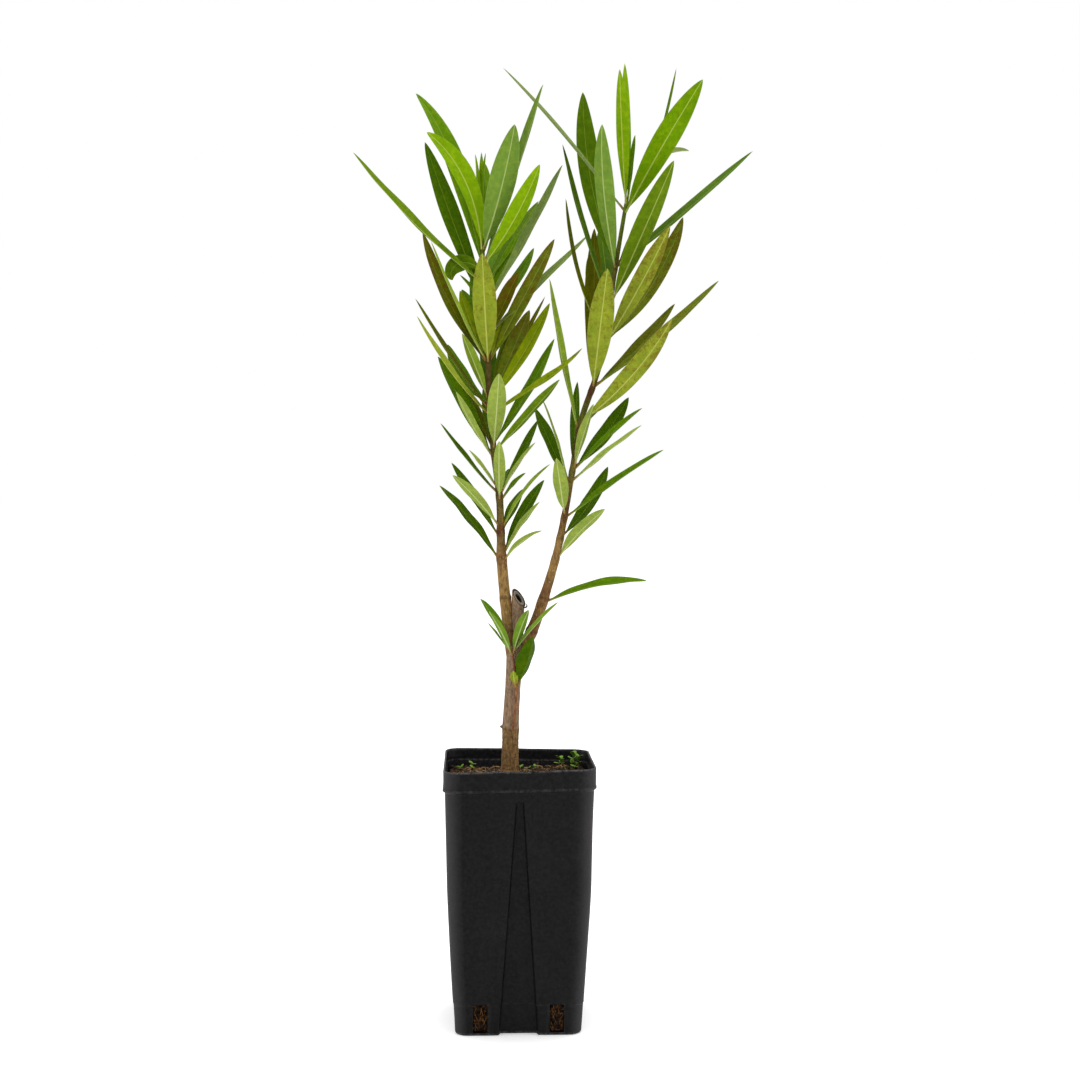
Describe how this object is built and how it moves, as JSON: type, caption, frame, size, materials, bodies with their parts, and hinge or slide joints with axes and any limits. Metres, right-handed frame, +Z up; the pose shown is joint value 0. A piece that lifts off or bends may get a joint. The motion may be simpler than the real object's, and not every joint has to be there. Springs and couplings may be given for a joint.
{
  "type": "potted oleander",
  "caption": "Young potted oleander: short cut-back trunk, two upright leafy shoots with whorled narrow leaves, in a deep square nursery pot.",
  "frame": {"origin": "middle of the flat underside of the pot", "axes": "+Z up along the trunk, -Y towards the front, +X to the right seen from the front"},
  "size_m": [0.2803, 0.129, 0.6641],
  "materials": {
    "pot_plastic": "matte black moulded",
    "potting_mix": "damp bark and fibre mix",
    "bark": "thin grey-brown bark",
    "cut_wood": "weathered cut wood",
    "shoot_bark": "smooth young bark, brown to green",
    "foliage": "leathery leaves, glossy above and dull below"
  },
  "bodies": {
    "root": {"pot": "pot_plastic", "soil": "potting_mix", "trunk": "bark", "cut_stub": "cut_wood", "left_shoot": "shoot_bark", "right_shoot": "shoot_bark", "sprig_stem": "shoot_bark", "left_tip_tuft": "foliage", "left_whorl_01": "foliage", "left_whorl_02": "foliage", "left_whorl_03": "foliage", "left_whorl_04": "foliage", "left_whorl_05": "foliage", "left_whorl_06": "foliage", "left_whorl_07": "foliage", "left_whorl_08": "foliage", "left_whorl_09": "foliage", "left_whorl_10": "foliage", "right_tip_tuft": "foliage", "right_whorl_01": "foliage", "right_whorl_02": "foliage", "right_whorl_03": "foliage", "right_whorl_04": "foliage", "right_whorl_05": "foliage", "right_whorl_06": "foliage", "right_whorl_07": "foliage", "right_whorl_08": "foliage", "right_whorl_09": "foliage", "right_whorl_10": "foliage", "sprig_broad_leaf": "foliage", "sprig_leaves": "foliage"}
  },
  "joints": []
}
